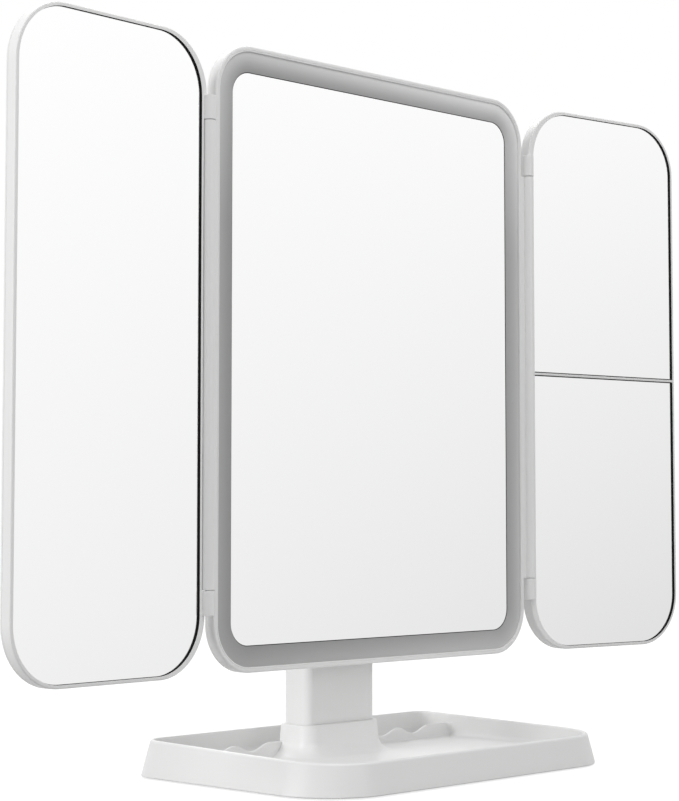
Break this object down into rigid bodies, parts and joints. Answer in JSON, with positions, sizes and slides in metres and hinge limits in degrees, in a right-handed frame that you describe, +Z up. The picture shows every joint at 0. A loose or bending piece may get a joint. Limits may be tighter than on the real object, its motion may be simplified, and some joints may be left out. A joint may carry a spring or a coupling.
{
  "type": "trifold vanity mirror",
  "caption": "Table-top vanity mirror: lit centre panel, two folding side wings, tilting head, column and a tray base with dividers.",
  "frame": {"origin": "on the table under the middle of the base", "axes": "+Z up, the mirror faces -Y, +X to the viewer's right"},
  "size_m": [0.4593, 0.134, 0.3416],
  "materials": {
    "white_plastic": "moulded, semi-gloss",
    "frosted_plastic": "frosted light border",
    "mirror_glass": "polished",
    "bright_steel": "plated",
    "grey_rubber": "matt",
    "foam": "matt foam",
    "circuit_board": "solder mask",
    "lamp_strip": "matt",
    "cell_wrap": "foil wrap"
  },
  "bodies": {
    "stand": {"tray": "white_plastic", "base_cover": "white_plastic", "ballast": "bright_steel", "feet": "grey_rubber", "cover_screws": "bright_steel", "column": "white_plastic", "column_screws": "bright_steel"},
    "head": {"tilt_bracket": "white_plastic", "bracket_screws": "bright_steel", "tilt_axle": "bright_steel", "axle_nut": "bright_steel", "friction_washers": "bright_steel", "axle_caps": "white_plastic", "front_frame": "white_plastic", "diffuser": "frosted_plastic", "centre_mirror": "mirror_glass", "mirror_pad": "foam", "light_frame": "white_plastic", "led_strip": "lamp_strip", "rear_cover": "white_plastic", "housing_screws": "bright_steel", "battery": "cell_wrap", "control_board": "circuit_board", "usb_socket": "bright_steel", "left_hinge_pins": "bright_steel", "right_hinge_pins": "bright_steel"},
    "power_button": {"power_button": "white_plastic"},
    "left_wing": {"left_wing_frame": "white_plastic", "left_wing_back": "white_plastic", "left_mirror": "mirror_glass", "left_mirror_pad": "foam"},
    "right_wing": {"right_wing_frame": "white_plastic", "right_wing_back": "white_plastic", "right_upper_mirror": "mirror_glass", "right_lower_mirror": "mirror_glass", "right_mirror_pads": "foam"}
  },
  "joints": [
    {"name": "head_tilt", "type": "hinge", "parent": "stand", "child": "head", "pos_m": [0, 0.0354, 0.15], "axis": [-1, 0, 0], "range_deg": [-3, 90]},
    {"name": "left_wing_fold", "type": "hinge", "parent": "head", "child": "left_wing", "pos_m": [-0.1149, -0.0005, 0.1966], "axis": [0, 0, 1], "range_deg": [-8.5, 176.5]},
    {"name": "right_wing_fold", "type": "hinge", "parent": "head", "child": "right_wing", "pos_m": [0.1149, -0.0005, 0.1966], "axis": [0, 0, -1], "range_deg": [-11.7, 173.3]},
    {"name": "power_press", "type": "slide", "parent": "head", "child": "power_button", "axis": [0, -1, 0], "range_m": [0, 0.0008], "stiffness_N_per_m": 1500}
  ]
}
